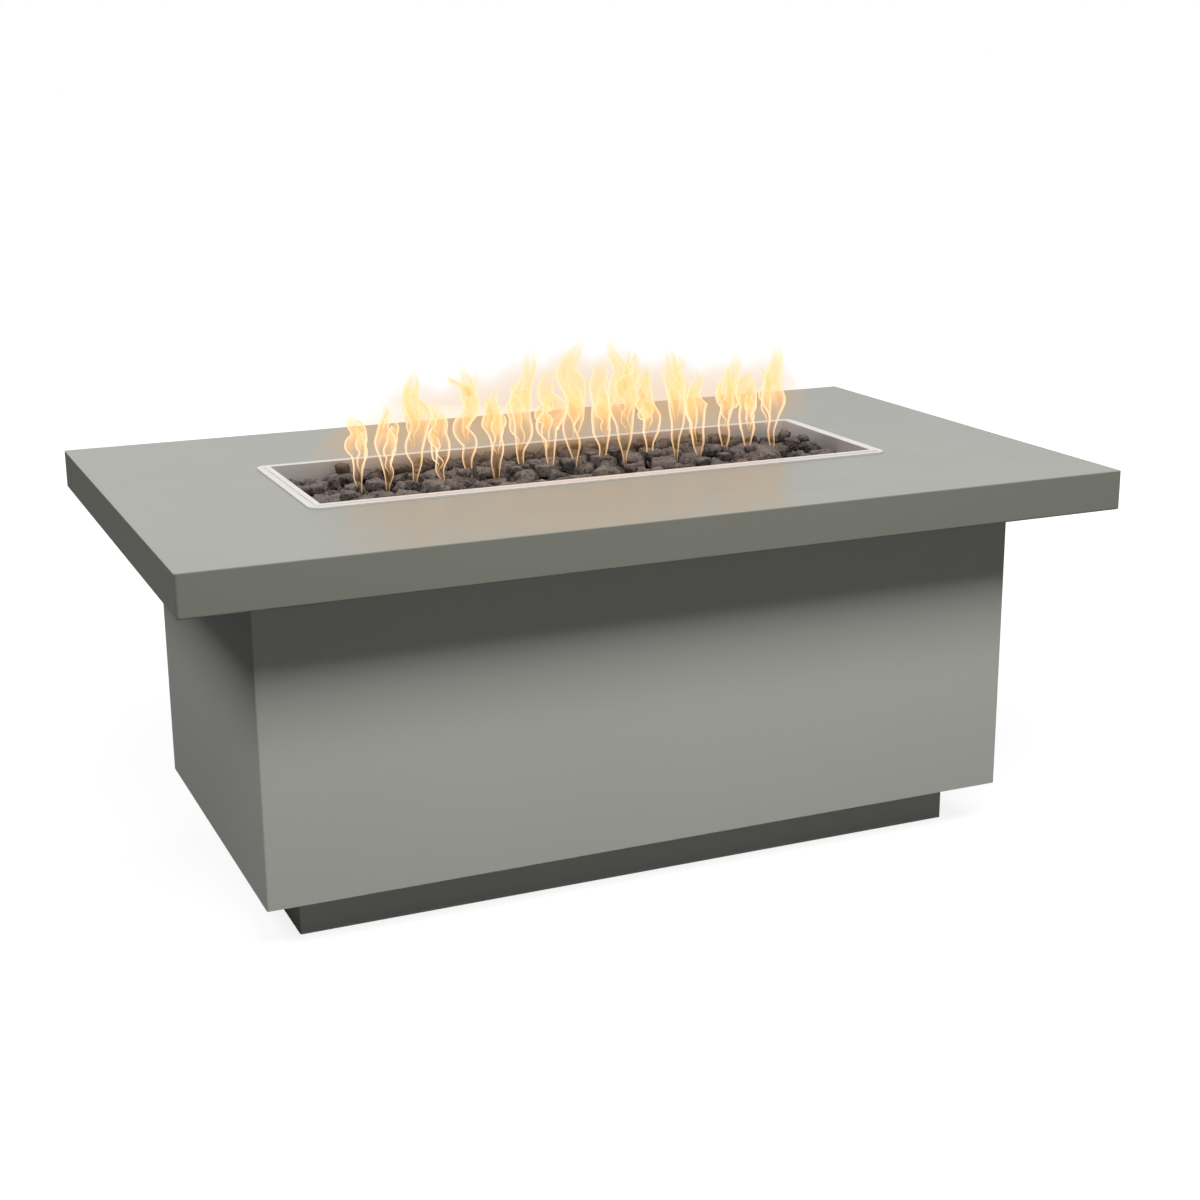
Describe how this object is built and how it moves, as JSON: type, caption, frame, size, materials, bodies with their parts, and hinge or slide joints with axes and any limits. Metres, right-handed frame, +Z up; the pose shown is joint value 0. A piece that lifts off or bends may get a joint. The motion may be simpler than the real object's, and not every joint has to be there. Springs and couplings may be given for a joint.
{
  "type": "gas fire pit table",
  "caption": "Rectangular outdoor gas fire table: overhanging sheet-metal top with a stainless lava-rock burner trough, boxy pedestal on a recessed plinth, rear service door and key valve.",
  "frame": {"origin": "floor under the middle of the plinth", "axes": "+X along the table's length to the right, +Y from the front to the rear with the service door, +Z up"},
  "size_m": [1.524, 0.914, 0.8253],
  "materials": {
    "grey_powder_coat": "satin",
    "dark_powder_coat": "matte",
    "frame_paint": "matte",
    "stainless": "satin",
    "bright_steel": "satin",
    "zinc_fasteners": "satin",
    "brass": "satin",
    "chrome": "polished",
    "black_pipe": "satin",
    "magnet_case": "matte",
    "lava_rock": "matte",
    "flame": "matte"
  },
  "bodies": {
    "table": {"top_shell": "grey_powder_coat", "top_bearers": "frame_paint", "front_panel": "grey_powder_coat", "rear_panel": "grey_powder_coat", "left_panel": "grey_powder_coat", "right_panel": "grey_powder_coat", "corner_posts": "frame_paint", "top_rails_long": "frame_paint", "top_rails_short": "frame_paint", "floor_tray": "frame_paint", "panel_nuts": "zinc_fasteners", "top_bolts": "zinc_fasteners", "top_bolt_nuts": "zinc_fasteners", "plinth_front": "dark_powder_coat", "plinth_rear": "dark_powder_coat", "plinth_left": "dark_powder_coat", "plinth_right": "dark_powder_coat", "plinth_bolts": "zinc_fasteners", "plinth_nuts": "zinc_fasteners", "hinge_leaf_fixed": "bright_steel", "hinge_pins": "bright_steel", "hinge_screws_fixed": "zinc_fasteners", "door_magnet": "magnet_case", "burner_pan": "stainless", "burner": "stainless", "burner_stands": "stainless", "burner_nipple": "zinc_fasteners", "nipple_nuts": "zinc_fasteners", "burner_elbow": "brass", "air_mixer": "brass", "lava_rock": "lava_rock", "flames": "flame", "riser_pipe": "black_pipe", "riser_clip": "frame_paint", "valve_body": "brass", "valve_gland": "brass", "valve_sleeve": "chrome", "sleeve_nut": "chrome", "hose_end_valve": "brass", "gas_hose": "bright_steel", "hose_end_burner": "brass"},
    "door": {"access_door": "grey_powder_coat", "hinge_leaf_door": "bright_steel", "hinge_screws_door": "zinc_fasteners", "door_knob": "chrome", "knob_screw": "zinc_fasteners"},
    "plug": {"valve_stem": "brass"},
    "key": {"valve_key": "chrome"}
  },
  "joints": [
    {"name": "door_swing", "type": "hinge", "parent": "table", "child": "door", "pos_m": [-0.209, 0.3343, 0.31], "axis": [0, 0, 1], "range_deg": [0, 110]},
    {"name": "valve_turn", "type": "hinge", "parent": "table", "child": "plug", "pos_m": [0.51, 0, 0.33], "axis": [1, 0, 0], "range_deg": [0, 90], "deforming": ["flames"]},
    {"name": "key_pull", "type": "slide", "parent": "plug", "child": "key", "axis": [1, 0, 0], "range_m": [0, 0.12]}
  ]
}
